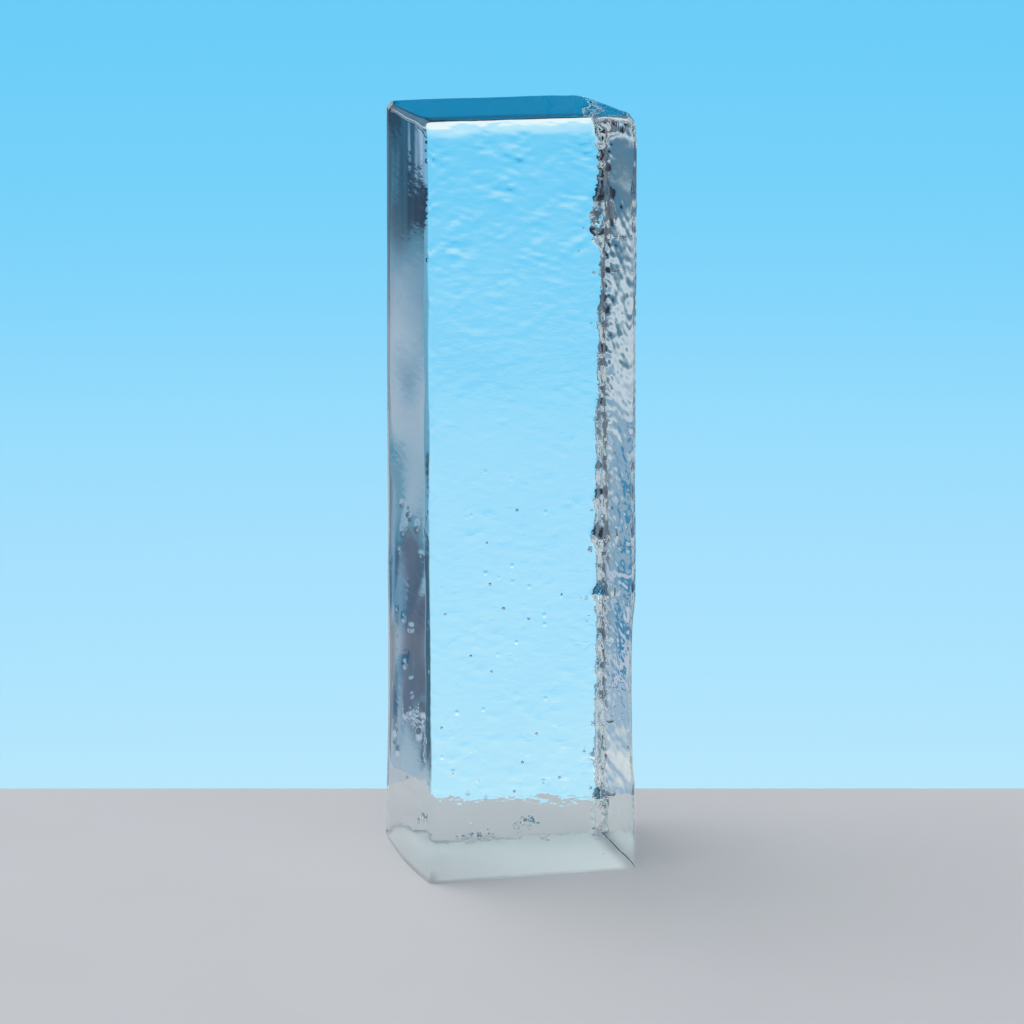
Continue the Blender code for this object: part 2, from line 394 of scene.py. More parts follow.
def walls(tree, turn, rise):
    """The backdrop, dull low down at the sides, then the rest of the room and both sides over it.

    The right screen's tones slant: their rise changes by a share of the turn.
    """
    aside = maths(tree, "ABSOLUTE", turn)
    lower = product(tree, *(ease(tree, rise, *zone) for zone in LOWER_ZONES))
    lower = product(tree, ease(tree, aside, *LOWER_TURNS), lower)
    room = blend(tree, lower, backdrop_colour(tree, rise), light_of(*LOW_SIDES))
    level = product(tree, *(ease(tree, rise, *zone) for zone in LEVEL_ZONES))
    behind = product(tree, ease(tree, aside, *BEHIND_TURNS), level)
    room = blend(tree, behind, room, light_of(*REST_OF_ROOM))
    slanted = maths(tree, "ADD", rise, SCREEN_LIFT)
    slanted = maths(tree, "MULTIPLY_ADD", turn, SCREEN_SLANT, slanted)
    for side, screen_rise in ((RIGHT, slanted), (LEFT, rise)):
        share, colour = side_of_room(tree, turn, rise, screen_rise, side)
        room = blend(tree, product(tree, share, level), room, colour)
    return room


def light_lamps(tree, look, room):
    """Add each lamp: full light in its core, eased away to its edge, and dimmer where mirrored."""
    mirrored = add_node(tree, "ShaderNodeLightPath").outputs["Is Singular Ray"]
    for turn, rise, edge, light in LAMPS:
        share = ease(tree, dot(tree, look, direction(turn, rise)), edge, LAMP_CORE)
        lamp = blend(tree, mirrored, (light,) * 3 + (1,), (GLEAM,) * 3 + (1,))
        room = blend(tree, share, room, lamp)
    return room


def make_room():
    """World colour by direction: the walls, with the soft lamps in front of them."""
    world = bpy.data.worlds.new("room")
    world.use_nodes = True
    tree = world.node_tree
    background = tree.nodes["Background"]
    look = add_node(tree, "ShaderNodeTexCoord").outputs["Generated"]
    turn, rise = look_angles(tree, look)
    room = light_lamps(tree, look, walls(tree, turn, rise))
    tree.links.new(room, background.inputs["Color"])
    scene.world = world
    return world


room = make_room()
scene.cycles.max_bounces = BOUNCES
scene.cycles.transmission_bounces = BOUNCES
print("room of", len(room.node_tree.nodes), "nodes")

# %% [markdown]
# ## Smooth noise and cells
# Melting leaves relief with no straight edges. The built-in noise takes one point at a time, which
# is slow on a fine surface, so it is worked out here for all points at once, from fixed seeds. Two
# patterns are enough: smooth noise gives swells and ripples, and distances to scattered points give
# lumps. An offset added to the points reads another part of a pattern.

# %% Patterns in space
TABLE = np.random.default_rng(7).permutation(256)
TABLE = np.concatenate([TABLE, TABLE])
SLOPES = np.random.default_rng(11).normal(size=(256, 3))
SLOPES /= np.linalg.norm(SLOPES, axis=1, keepdims=True)
SCATTER = np.random.default_rng(13).random((256, 3))
NOISE_GAIN, FAR_AWAY = 1.6, 9


def cell_number(cells):
    """A number from 0 to 255 for each cell of space, always the same for the same cell."""
    x, y, z = (cells & 255).T
    return TABLE[TABLE[TABLE[x] + y] + z]


def noise(points, size):
    """Smooth noise, about -1 to 1: a random slope at each lattice corner, eased between them."""
    scaled = points / np.asarray(size)
    cells = np.floor(scaled).astype(np.int64)
    within = scaled - cells
    eased = within ** 3 * (within * (within * 6 - 15) + 10)
    total = np.zeros(len(points))
    for corner in np.ndindex(2, 2, 2):
        corner = np.array(corner)
        slope = SLOPES[cell_number(cells + corner)]
        share = np.where(corner == 1, eased, 1 - eased).prod(axis=1)
        total += share * np.einsum("ij,ij->i", slope, within - corner)
    return total * NOISE_GAIN


def nearest(points, size):
    """Distance to the nearest scattered point, of which each cell of space holds one."""
    scaled = points / np.asarray(size)
    cells = np.floor(scaled).astype(np.int64)
    distance = np.full(len(points), FAR_AWAY)
    for step in np.ndindex(3, 3, 3):
        cell = cells + np.array(step) - 1
        found = np.linalg.norm(cell + SCATTER[cell_number(cell)] - scaled, axis=1)
        distance = np.minimum(distance, found)
    return distance


def smooth(values):
    """Ease from 0 to 1 as the values go from 0 to 1."""
    values = np.clip(values, 0, 1)
    return values * values * (3 - 2 * values)


print("noise at one place:", noise(np.full((1, 3), 0.0123), 0.01).round(3))

# %% [markdown]
# ## The block before melting
# The block is a box whose surface is a lattice of points. A cube could be subdivided evenly, but
# that spends most cells where little happens. Here the cuts lie close together near the edges,
# which will be rounded, and all the way up the height, where chips and waves are shortest. Each of
# the six faces is a grid in two parameters, and the points that two faces share are joined.

# %% Box lattice
WIDTH, DEPTH = 0.034, 0.030
EDGE_STEP = 0.00026
EDGE_ZONES = ((0.0013, 0.0026), (0.0013, 0.0026), (0.0013, 0.0013))
FACE_STEPS = (0.00076, 0.00088, 0.00028)
PLACES_PER_METRE = 1e7


def cut_places(start, length, zones, step):
    """Places of the cuts along one side: fine in the zone at each end, even between them."""
    near, far = (np.arange(0, zone, EDGE_STEP) for zone in zones)
    count = round((length - sum(zones)) / step)
    even = np.linspace(zones[0], length - zones[1], count + 1)
    return start + np.concatenate([near, even, length - far[::-1]])


def face_grid(cuts, axis, far):
    """One face of the box: points on a grid of two axes' cuts, and its four-sided cells."""
    first, second = (axis + 1) % 3, (axis + 2) % 3
    u, v = np.meshgrid(cuts[first], cuts[second], indexing="ij")
    points = np.empty((u.size, 3))
    points[:, first] = u.ravel()
    points[:, second] = v.ravel()
    points[:, axis] = cuts[axis][-1] if far else cuts[axis][0]
    number = np.arange(u.size).reshape(u.shape)
    corners = [number[:-1, :-1], number[1:, :-1], number[1:, 1:], number[:-1, 1:]]
    cells = np.stack([c.ravel() for c in corners], axis=1)
    return points, cells if far else cells[:, ::-1]


def joined_faces(cuts):
    """The whole box: six grids, with the points that they share joined."""
    points, cells, count = [], [], 0
    for axis in range(3):
        for far in (False, True):
            face_points, face_cells = face_grid(cuts, axis, far)
            points.append(face_points)
            cells.append(face_cells + count)
            count += len(face_points)
    points, cells = np.concatenate(points), np.concatenate(cells)
    places = np.round(points * PLACES_PER_METRE).astype(np.int64)
    places, joined = np.unique(places, axis=0, return_inverse=True)
    return places / PLACES_PER_METRE, joined.ravel()[cells]


STARTS, LENGTHS = (-WIDTH / 2, -DEPTH / 2, 0), (WIDTH, DEPTH, HEIGHT)
cuts = [cut_places(*side) for side in zip(STARTS, LENGTHS, EDGE_ZONES, FACE_STEPS)]
block_points, block_cells = joined_faces(cuts)
print("block:", len(block_points), "points,", len(block_cells), "cells")

# %% [markdown]
# ## Rounded edges
# Every edge has melted to a small radius, the two left edges and the front right one to a larger
# one, and the top front right corner to the largest. A bevel would give all of an edge the same
# radius. Here a point is pulled on to a ball that rolls inside the box: its centre is the nearest
# point of a smaller box, and the way out of the surface is the way from it.

# %% Rounding
SIDE_RADIUS, TOP_RADIUS, BASE_RADIUS = 0.0008, 0.0010, 0.0005
LEFT_RADIUS, RIGHT_RADIUS, REACH = 0.0016, 0.0014, 0.006
SOFT_CORNER_RADIUS, SOFT_CORNER_REACH = 0.0022, 0.0055
END_ZONE, TOP_START, TOP_SHARPNESS = HEIGHT / 8, HEIGHT * 7 / 8, 0.4
RADIUS_SWAY, RADIUS_SWAY_LENGTH = 0.3, 0.009


def edge_radius(points):
    """Radius of the nearest edge: it changes up the height, and grows near the more melted ones.

    It sways by smooth noise, and grows most near the soft corner.
    """
    x, y, z = points.T
    corner = np.array([WIDTH / 2, -DEPTH / 2, HEIGHT])
    softness = smooth(1 - np.linalg.norm(points - corner, axis=1) / SOFT_CORNER_REACH)
    lower = smooth(z / END_ZONE)
    upper = smooth((z - TOP_START) / END_ZONE)
    radius = BASE_RADIUS + (SIDE_RADIUS - BASE_RADIUS) * lower + (TOP_RADIUS - SIDE_RADIUS) * upper
    left = np.hypot(x + WIDTH / 2, np.abs(y) - DEPTH / 2)
    right = np.hypot(x - WIDTH / 2, y + DEPTH / 2)
    for melted, aside in ((LEFT_RADIUS, left), (RIGHT_RADIUS, right)):
        near = smooth(2 - 2 * aside / REACH) * lower * (1 - TOP_SHARPNESS * upper)
        radius = radius + (melted - radius) * near
    radius = radius * (1 + RADIUS_SWAY * noise(points, RADIUS_SWAY_LENGTH))
    return radius + (SOFT_CORNER_RADIUS - radius) * softness


def rounded(points):
    """The points on the rounded box, and the way out of it at each."""
    radius = edge_radius(points)[:, None]
    low = np.array([-WIDTH / 2, -DEPTH / 2, 0]) + radius
    high = np.array([WIDTH / 2, DEPTH / 2, HEIGHT]) - radius
    centre = np.clip(points, low, high)
    outward = points - centre
    outward /= np.linalg.norm(outward, axis=1, keepdims=True)
    return centre + outward * radius, outward


round_points, outward = rounded(block_points)
print("edges rounded from", BASE_RADIUS, "to", SOFT_CORNER_RADIUS, "m")

# %% [markdown]
# ## Not quite square
# The block was sawn by hand, so its ends aren't true rectangles. Each of its eight corners has its
# own place, and every point between them moves by a blend of their shifts.

# %% Sawn corners
BASE_CORNERS = np.array([[-16.75, -15.4], [16.85, -15.1], [16.75, 14.3], [-16.95, 15.5]]) / 1000
TOP_CORNERS = np.array([[-16.5, -13.7], [16.85, -13.9], [17.05, 14.7], [-16.5, 14.3]]) / 1000
SQUARE = np.array([[-1, -1], [1, -1], [1, 1], [-1, 1]]) * np.array([WIDTH, DEPTH]) / 2


def sawn(points):
    """Move points by the corners' shifts, shared out by nearness along each of three ways."""
    x, y, z = points.T
    up = z / HEIGHT
    across = x / WIDTH + 0.5
    along = y / DEPTH + 0.5
    left, front = 1 - across, 1 - along
    shares = [left * front, across * front, across * along, left * along]
    shift = np.zeros((len(points), 2))
    for share, low, high in zip(shares, BASE_CORNERS - SQUARE, TOP_CORNERS - SQUARE):
        shift += share[:, None] * ((1 - up)[:, None] * low + up[:, None] * high)
    moved = points.copy()
    moved[:, :2] += shift
    return moved


sawn_points = sawn(round_points)
print("base corners in mm:", (BASE_CORNERS * 1000).tolist())

# %% [markdown]
# ## The chipped edge
# The back right edge is the one the saw left rough: a narrow, slightly hollow chamfer. A boolean
# cut would leave hard rims and long thin cells. Here the points near the edge move in on to the
# cut, so the lattice stays even. Its width is given at a few heights, where a chip came away or
# the edge stayed sharp, and a short sway and small lumps are added.

# %% Chips along the back right edge
MM = 0.001
# Each pair: a height and the width of the cut there.
CHAMFER = np.array([
    (0, 1.8), (5, 1.5), (8.6, 0.8), (13, 1.4), (17, 0.9), (24, 1.1), (35, 0.9), (37.5, 0.7),
    (39.5, 1.6), (42, 0.7), (45.5, 0.8), (48.6, 1.7), (52, 1.1), (54.4, 1.4), (57, 1), (60, 1.2),
    (63, 1), (67, 1.2), (72, 0.8), (77, 0.9), (80, 0.7), (85, 0.9), (88.5, 0.3), (94, 0.3),
    (97.5, 1.7), (103, 1.8), (106, 0.9), (111, 0.7), (113.4, 1.9), (115.6, 1.2), (118.6, 0.9),
]) * MM
CHAMFER_SWAY, SHORT_SWAY = 0.3 * MM, 0.2
SWAY_LENGTH, SHORT_SWAY_LENGTH = 3 * MM, 1.3 * MM


def chamfer_width(heights):
    """Width of the cut at each height: eased between the given ones, with a short sway."""
    line = np.zeros((len(heights), 3))
    line[:, 2] = heights
    number = np.clip(np.searchsorted(CHAMFER[:, 0], heights) - 1, 0, len(CHAMFER) - 2)
    start, end = CHAMFER[number], CHAMFER[number + 1]
    share = smooth((heights - start[:, 0]) / (end[:, 0] - start[:, 0]))
    width = start[:, 1] + share * (end[:, 1] - start[:, 1])
    sway = noise(line, SWAY_LENGTH) + SHORT_SWAY * noise(line + 0.4, SHORT_SWAY_LENGTH)
    return width + CHAMFER_SWAY * sway


print("chamfer from", chamfer_width(np.linspace(0, HEIGHT, 99)).min().round(5), "m wide")

# %% Cut the chips
CHAMFER_SLANT, CHAMFER_BLEND = np.array([1, 1.43]), 0.15 * MM
CHAMFER_HOLLOW, END_POWER, END_LENGTH = 1.2, 6, 1 * MM
CHAMFER_LUMPS, CHAMFER_LUMP_SIZE = 0.15 * MM, (1.7 * MM, 2 * MM, 2.2 * MM)
LUMPS_TOP, LUMPS_FADE = 112 * MM, 4 * MM


def chipped(points, corner):
    """Move points in from the edge on to the cut, with a soft rim.

    The distance from the edge adds the two ways in, each raised to a power, and takes the root. A
    power of 1 gives a flat cut and 2 a round hollow. It rises at both ends of the edge, where
    points of the base and the top have to make way too.
    """
    inward = (corner - points[:, :2]) / CHAMFER_SLANT
    inward = np.maximum(inward, 0)
    from_end = np.minimum(points[:, 2], HEIGHT - points[:, 2])
    power = CHAMFER_HOLLOW + END_POWER * (1 - smooth((from_end - END_LENGTH) / END_LENGTH))
    from_edge = (inward ** power[:, None]).sum(axis=1) ** (1 / power)
    lumps = smooth((LUMPS_TOP - points[:, 2]) / LUMPS_FADE) * noise(points, CHAMFER_LUMP_SIZE)
    width = chamfer_width(points[:, 2]) + CHAMFER_LUMPS * lumps
    over = (width - from_edge) / CHAMFER_BLEND
    share = 0.5 ** (1 / CHAMFER_HOLLOW)
    moved = points.copy()
    moved[:, :2] -= share * CHAMFER_BLEND * np.logaddexp(0, over)[:, None] * CHAMFER_SLANT
    return moved


up = sawn_points[:, 2:] / HEIGHT
rough_corner = BASE_CORNERS[2] * (1 - up) + TOP_CORNERS[2] * up
chipped_points = chipped(sawn_points, rough_corner)
print("chips move points by", np.abs(chipped_points - sawn_points).max().round(5), "m")

# %% [markdown]
# ## The worn top
# The front face leans back just under the top, the top's right end slopes down, and one corner has
# broken off. Cuts with planes would leave hard lines. Instead a point moves by how far it is past
# a plane, through a curve that bends softly, and a little noise makes the lines uneven.

# %% Lip, slope and corner of the top
LIP_SLOPE, LIP_HEIGHT, LIP_BLEND, LIP_REACH = 0.5, 2 * MM, 0.18 * MM, 8 * MM
LIP_SWAY, LIP_SWAY_LENGTH = 0.3, 5 * MM
LIP_END, LIP_FADE, LIP_DROP = 12 * MM, 2.5 * MM, 0.3 * MM
BEVEL_BACK, BEVEL_FRONT, BEVEL_SLOPE, BEVEL_BLEND = 14.3 * MM, 16.4 * MM, 0.26, 0.15 * MM
BEVEL_SWAY, BEVEL_SWAY_LENGTH, BEVEL_REACH = 0.4 * MM, 3 * MM, 6 * MM
CHIP_WAY = np.array([0.66, 0.66, 0.36])
CHIP_SIZE, CHIP_BLEND = 1.9 * MM, 0.12 * MM
CHIP_LUMPS, CHIP_LUMP_SIZE = 0.08 * MM, 1.6 * MM


def shifted(points, axis, amounts):
    """A copy of the points, each moved along one axis by its own amount."""
    moved = points.copy()
    moved[:, axis] += amounts
    return moved


def past(over, softness):
    """How far a point is past a plane: 0 before it, the distance after it, a soft bend between."""
    return softness * np.logaddexp(0, over / softness)


def lipped(points):
    """Lean the front face back under its top edge: the lean grows to the edge, fades behind it."""
    x, y, z = points.T
    line = points * np.array([1, 0, 0])
    tall = LIP_HEIGHT * (1 + LIP_SWAY * noise(line, LIP_SWAY_LENGTH))
    share = smooth(1 - (y + DEPTH / 2) / LIP_REACH)
    share = share * smooth((LIP_END - x) / LIP_FADE)
    moved = shifted(points, 1, share * LIP_SLOPE * past(tall - (HEIGHT - z), LIP_BLEND))
    return shifted(moved, 2, -share * LIP_DROP * smooth(1 - (HEIGHT - z) / LIP_REACH))


def bevelled(points):
    """Lower the right end of the top: more and more past a line that slants across the top."""
    x, y, z = points.T
    along = y / DEPTH + 0.5
    line = BEVEL_FRONT + (BEVEL_BACK - BEVEL_FRONT) * along
    line = line + BEVEL_SWAY * noise(points, BEVEL_SWAY_LENGTH)
    share = smooth(1 - (HEIGHT - z) / BEVEL_REACH)
    return shifted(points, 2, -share * BEVEL_SLOPE * past(x - line, BEVEL_BLEND))


def corner_chip(points):
    """Cut the top back right corner off by a slanted, lumpy plane."""
    corner = np.array([*TOP_CORNERS[2], HEIGHT])
    over = (points - corner) @ CHIP_WAY + CHIP_SIZE + CHIP_LUMPS * noise(points, CHIP_LUMP_SIZE)
    return points - past(over, CHIP_BLEND)[:, None] * CHIP_WAY


worn_points = corner_chip(bevelled(lipped(chipped_points)))
print("top worn down by", np.abs(worn_points - chipped_points).max().round(5), "m")

# %% [markdown]
# ## The foot and the back left edge
# The left face bulges at its foot, and the back face curves forward near its left edge. Both are
# soft, so each is a shift that is eased in by a point's place, and no cut is needed.

# %% Bulging foot and curved back
FOOT_BULGE, FOOT_HEIGHT, FOOT_REACH = 0.8 * MM, 6 * MM, 8 * MM
WORN_BACK, WORN_WIDTH, WORN_REACH = 0.9 * MM, 4.5 * MM, 8 * MM


def bow(points):
    """A bow across the depth: 0 at the front and back edges, and -1 at the middle."""
    return (points[:, 1] / (DEPTH / 2)) ** 2 - 1


def footed(points):
    """Let the foot of the left face bulge outwards, most at the middle of its depth."""
    share = smooth(1 - points[:, 2] / FOOT_HEIGHT)
    share *= smooth(1 - (points[:, 0] + WIDTH / 2) / FOOT_REACH)
    return shifted(points, 0, FOOT_BULGE * share * np.minimum(bow(points), 0))


def worn_back(points):
    """Curve the back face forward towards its left edge, by the square of the nearness to it."""
    near = np.clip(1 - (points[:, 0] + WIDTH / 2) / WORN_WIDTH, 0, 1)
    share = smooth(1 - (DEPTH / 2 - points[:, 1]) / WORN_REACH)
    return shifted(points, 1, -share * WORN_BACK * near ** 2)


worn_points = footed(worn_back(worn_points))
print("furthest left point at", worn_points[:, 0].min().round(5), "m")

# %% [markdown]
# ## Relief that melting leaves
# Each face has its own story, told as depths by which the surface has sunk, which add. They could
# be sculpted, but depths worked out from a point's place can be changed one number at a time. The
# front is almost smooth: it has low short waves that slant both ways, strongest near the top, and
# small round pits lower down, as the back has too.

# %% Waves and pits of the front
RIPPLE_DEPTH, RIPPLE_SIZE = 0.155 * MM, (2.4 * MM, 30 * MM, 1 * MM)
RIPPLE_LEANS, FINE_SHARE, FINE_SIZE = (-0.75, 0.55), 0.5, np.array(RIPPLE_SIZE) * 0.55
PATCH_COVER, PATCH_CONTRAST, PATCH_LENGTH = 0.55, 1.2, 5 * MM
LOW_STRENGTH, MORE_STRENGTH, MORE_FROM, MORE_OVER = 0.3, 0.9, 84 * MM, 22 * MM
RIPPLE_END, RIPPLE_FADE = 13 * MM, 4 * MM
PIT_COUNT, PIT_STEEPNESS, PIT_RADIUS, PIT_SPREAD = 45, 0.12, 0.6, 0.6
PIT_ACROSS, PIT_FOOT, PIT_RANGE, PIT_CROWDING = 0.85, 3, 52, 1.4


def ripples(points):
    """Two sets of waves, each slanted by moving points up by a share of their place across.

    Finer waves are added to each set, and slow noise picks the patches that have any.
    """
    total = np.zeros(len(points))
    for lean in RIPPLE_LEANS:
        slanted = points + lean
        slanted[:, 2] += points[:, 0] * lean
        total += noise(slanted, RIPPLE_SIZE) + FINE_SHARE * noise(slanted + 0.05, FINE_SIZE)
    patches = smooth(PATCH_COVER + PATCH_CONTRAST * noise(points + 0.3, PATCH_LENGTH))
    strength = LOW_STRENGTH + MORE_STRENGTH * smooth((points[:, 2] - MORE_FROM) / MORE_OVER)
    return total * strength * patches * smooth((RIPPLE_END - points[:, 0]) / RIPPLE_FADE)


def pits(points, seed):
    """Small round hollows scattered over the lower part of a face, closer near its foot."""
    random = np.random.default_rng(seed)
    depth = np.zeros(len(points))
    for across, up, size in random.random((PIT_COUNT, 3)):
        radius = (PIT_RADIUS + PIT_SPREAD * size) * MM
        aside = points[:, 0] - (across - 0.5) * PIT_ACROSS * WIDTH
        middle = (PIT_FOOT + PIT_RANGE * up ** PIT_CROWDING) * MM
        distance = np.hypot(aside, points[:, 2] - middle)
        depth = np.maximum(depth, radius * smooth(1 - distance / radius))
    return depth


print("waves up to", np.abs(ripples(block_points)).max().round(2), "times their depth")

# %% [markdown]
# ## Lumps of the right face
# The right face was the rough one. It has low lumps of two sizes, which grow towards the chipped
# edge, and a band of smaller ones beside that edge and along the top. A lump is the ground round a
# scattered point: the surface sinks with the distance from the nearest one.

# %% Lumps
PEBBLE_DEPTH, PEBBLE_SIZE = 0.035 * MM, (3 * MM, 3.2 * MM, 1.5 * MM)
COBBLE_DEPTH, COBBLE_SIZE = 0.08 * MM, (5 * MM, 6 * MM, 4.5 * MM)
GRAIN_DEPTH, GRAIN_SIZE = 0.012 * MM, (2 * MM, 3 * MM, 1.1 * MM)
ROUGH_DEPTH, ROUGH_SIZE, ROUGH_REACH = 0.12 * MM, (2 * MM, 3.4 * MM, 1.7 * MM), 8 * MM
VALLEY, TOP_NARROWING = 1.35, 1.3
SMOOTH_TOP, TOP_FADE, LEAST_ROUGH = 106 * MM, 4 * MM, 0.1
MORE_ROUGH, ROUGH_FROM, ROUGH_OVER = 0.8, 5 * MM, 7 * MM


def pebbles(points, size):
    """Low lumps with valleys between them: 0 on a crown, 1 in a valley."""
    return smooth(nearest(points, size) * VALLEY)


def rough_edge(points):
    """Small lumps beside the chipped edge and along the top of the right face.

    They are full within a third of their reach, and the band along the top is narrower.
    """
    x, y, z = points.T
    upright = np.hypot(x - WIDTH / 2, y - DEPTH / 2)
    level = np.hypot(x - WIDTH / 2, z - HEIGHT)
    near = smooth(1.5 - 1.5 * np.minimum(upright, level * TOP_NARROWING) / ROUGH_REACH)
    return near * pebbles(points, ROUGH_SIZE)


def roughness(points):
    """How rough the right face is: little near its top, and most towards the chipped edge."""
    below = smooth((SMOOTH_TOP - points[:, 2]) / TOP_FADE)
    behind = smooth((points[:, 1] - ROUGH_FROM) / ROUGH_OVER)
    return (LEAST_ROUGH + (1 - LEAST_ROUGH) * below) * (1 + MORE_ROUGH * behind)


print("lumps", round(PEBBLE_DEPTH / MM, 3), "and", round(COBBLE_DEPTH / MM, 3), "mm deep")

# %% [markdown]
# ## Flutes and ledges of the left face
# The left face has faint upright flutes near its top and slanting ledges lower down. Flutes are
# noise stretched up the height. Ledges are a saw-toothed wave: its depth grows slowly and falls
# back quickly, so each one catches light on one side.

# %% Flutes and ledges
FLUTE_DEPTH, FLUTE_WIDTH, FLUTE_CONTRAST = 0.055 * MM, 4.5 * MM, 1.3
FLUTE_SIZE, FLUTE_FOOT, FLUTE_FADE = (1, FLUTE_WIDTH, 6 * FLUTE_WIDTH), 90 * MM, 20 * MM
LEDGE_DEPTH, LEDGE_PITCH, LEDGE_SLANT = 0.06 * MM, 13.5 * MM, math.radians(62)
LEDGE_SWAY, LEDGE_SWAY_LENGTH, LEDGE_CREST = 3 * MM, 14 * MM, 0.75
LEDGE_TOP, LEDGE_FOOT, LEDGE_FADE = 66 * MM, 12 * MM, 10 * MM


def flutes(points):
    """Upright grooves that fade out towards their foot."""
    fade = smooth((points[:, 2] - FLUTE_FOOT) / FLUTE_FADE)
    return fade * smooth(0.5 + FLUTE_CONTRAST * noise(points, FLUTE_SIZE))


def ledges(points):
    """Slanting steps: the depth grows over most of each pitch and falls back over the rest."""
    x, y, z = points.T
    along = y * math.sin(LEDGE_SLANT) + z * math.cos(LEDGE_SLANT)
    phase = ((along + LEDGE_SWAY * noise(points, LEDGE_SWAY_LENGTH)) / LEDGE_PITCH) % 1
    growing, falling = smooth(phase / LEDGE_CREST), smooth((1 - phase) / (1 - LEDGE_CREST))
    step = np.where(phase < LEDGE_CREST, growing, falling)
    low = smooth((z - LEDGE_FOOT) / LEDGE_FADE)
    return step * low * smooth((LEDGE_TOP - z) / LEDGE_FADE)


print("ledges every", round(LEDGE_PITCH / MM, 1), "mm")

# %% [markdown]
# ## All the relief together
# Slow swells run over all the faces, the side faces bow out a little, and the front right edge has
# worn back low down. Most kinds of relief belong to one face, so each is weighed by how far a point
# faces that way, which lets the reliefs of two faces meet softly round an edge.

# %% Depths of melting
SWELL_DEPTH, SWELL_LENGTH, SWELL_CONTRAST, TOP_CALM = 0.2 * MM, 22 * MM, 0.9, 0.8
LEFT_BOW, RIGHT_BOW = 0.5 * MM, 0.3 * MM
WORN_DEPTH, WORN_FOOT, WORN_TOP = 0.5 * MM, 12 * MM, 44 * MM
WORN_FOOT_FADE, WORN_TOP_FADE, WORN_SPREAD = 6 * MM, 7 * MM, WIDTH * 0.8
BASE_FADE = 3 * MM
FRONT_SEED, BACK_SEED = 3, 5


def worn_edge(points):
    """Slow wear of the front right edge, low down."""
    x, y, z = points.T
    aside = np.hypot(x - WIDTH / 2, y + DEPTH / 2)
    up = smooth((z - WORN_FOOT) / WORN_FOOT_FADE)
    up = up * smooth((WORN_TOP - z) / WORN_TOP_FADE)
    return up * smooth(1 - aside / WORN_SPREAD)


def facing(out, axis, way):
    """How far points face one way: the square of what lies that way in the direction out."""
    return np.maximum(way * out[:, axis], 0) ** 2


def melt_depth(points, out):
    """The sum of all the relief at each point, each kind on its own face, and none at the base."""
    left, right, front, back, above = (
        facing(out, axis, way) for axis, way in ((0, -1), (0, 1), (1, -1), (1, 1), (2, 1)))
    depth = SWELL_DEPTH * smooth(0.5 + SWELL_CONTRAST * noise(points + 0.11, SWELL_LENGTH))
    depth *= 1 - TOP_CALM * above
    depth += front * RIPPLE_DEPTH * (1 + ripples(points))
    depth += PIT_STEEPNESS * (front * pits(points, FRONT_SEED) + back * pits(points, BACK_SEED))
    depth += (left * LEFT_BOW + right * RIGHT_BOW) * bow(points)
    rough = right * roughness(points)
    depth += rough * PEBBLE_DEPTH * pebbles(points, PEBBLE_SIZE)
    depth += rough * COBBLE_DEPTH * pebbles(points + 0.23, COBBLE_SIZE)
    depth += left * (FLUTE_DEPTH * flutes(points) + LEDGE_DEPTH * ledges(points))
    depth += rough * GRAIN_DEPTH * (1 + noise(points, GRAIN_SIZE))
    worn = right * WORN_DEPTH * worn_edge(points)
    depth += (1 - back) * ROUGH_DEPTH * rough_edge(points) + worn
    return depth * smooth(points[:, 2] / BASE_FADE)


depths = melt_depth(round_points, outward)
ice_points = worn_points - outward * depths[:, None]
print("melted in by up to", round(float(depths.max()) * 1000, 2), "mm")

# %% [markdown]
# ## Bubbles
# A few bubbles froze in near the chipped edge, near the base, and just behind the front face. Each
# is a hollow in the ice, so its faces turn inwards, towards its air. A ball could be made of rings
# that close at two poles. A small box lattice blown out to a ball is used instead, because its
# cells are even and all four-sided.

# %% Hollow balls
# Each bubble: the place of its middle and its radius.
BUBBLES = np.array([
    (13.6, 13.2, 98.6, 0.32), (15, 12.9, 96.8, 0.3), (12.7, 13.4, 94.6, 0.3),
    (15.2, 13.2, 91.4, 0.28), (15, 13.2, 83.2, 0.25), (14.9, 13, 53.3, 0.28),
    (14.7, 13, 47, 0.34), (14, 13.3, 38.9, 0.24), (14.4, 13.3, 35.4, 0.3), (15.2, 13, 18.4, 0.34),
    (13.9, 13.3, 14, 0.27), (15.6, 11.5, 6.6, 0.75), (4.4, 13.2, 2.8, 0.75),
    (2.6, 13.5, 2.2, 0.5), (5.9, 13.5, 2.4, 0.45), (3.4, 12.6, 3.6, 0.3), (-7.3, 13.6, 1, 0.32),
    (-6.1, 13.5, 0.9, 0.36), (-4.8, 13.7, 1.1, 0.3), (-3.6, 13.5, 0.9, 0.4),
    (-2.2, 13.6, 1.1, 0.3), (-1.2, 13.5, 0.9, 0.34), (-2, -12, 58, 0.26),
    (-6.8, -12.1, 53.2, 0.19), (-6.3, -12, 46.6, 0.24), (-4.2, -12.2, 42.7, 0.27),
    (-13.4, -12, 42.3, 0.2), (-0.2, -12.1, 40.8, 0.24), (5.1, -12, 44.4, 0.19),
    (-9.4, -12.2, 35.5, 0.23), (-6.1, -12, 32.8, 0.2), (-14, -12, 24.3, 0.22),
    (1.1, -12.1, 22.4, 0.23), (-1.2, -12.2, 18, 0.27), (4.8, -12, 15.1, 0.24),
    (-2.5, -12.1, 13.4, 0.22),
]) * MM
BUBBLE_CUTS = 5


def ball_lattice():
    """A ball of radius 1: a box lattice whose points are moved out to the same distance."""
    cuts = [np.tan(np.linspace(-1, 1, BUBBLE_CUTS + 1) * math.pi / 4)] * 3
    points, cells = joined_faces(cuts)
    return points / np.linalg.norm(points, axis=1, keepdims=True), cells


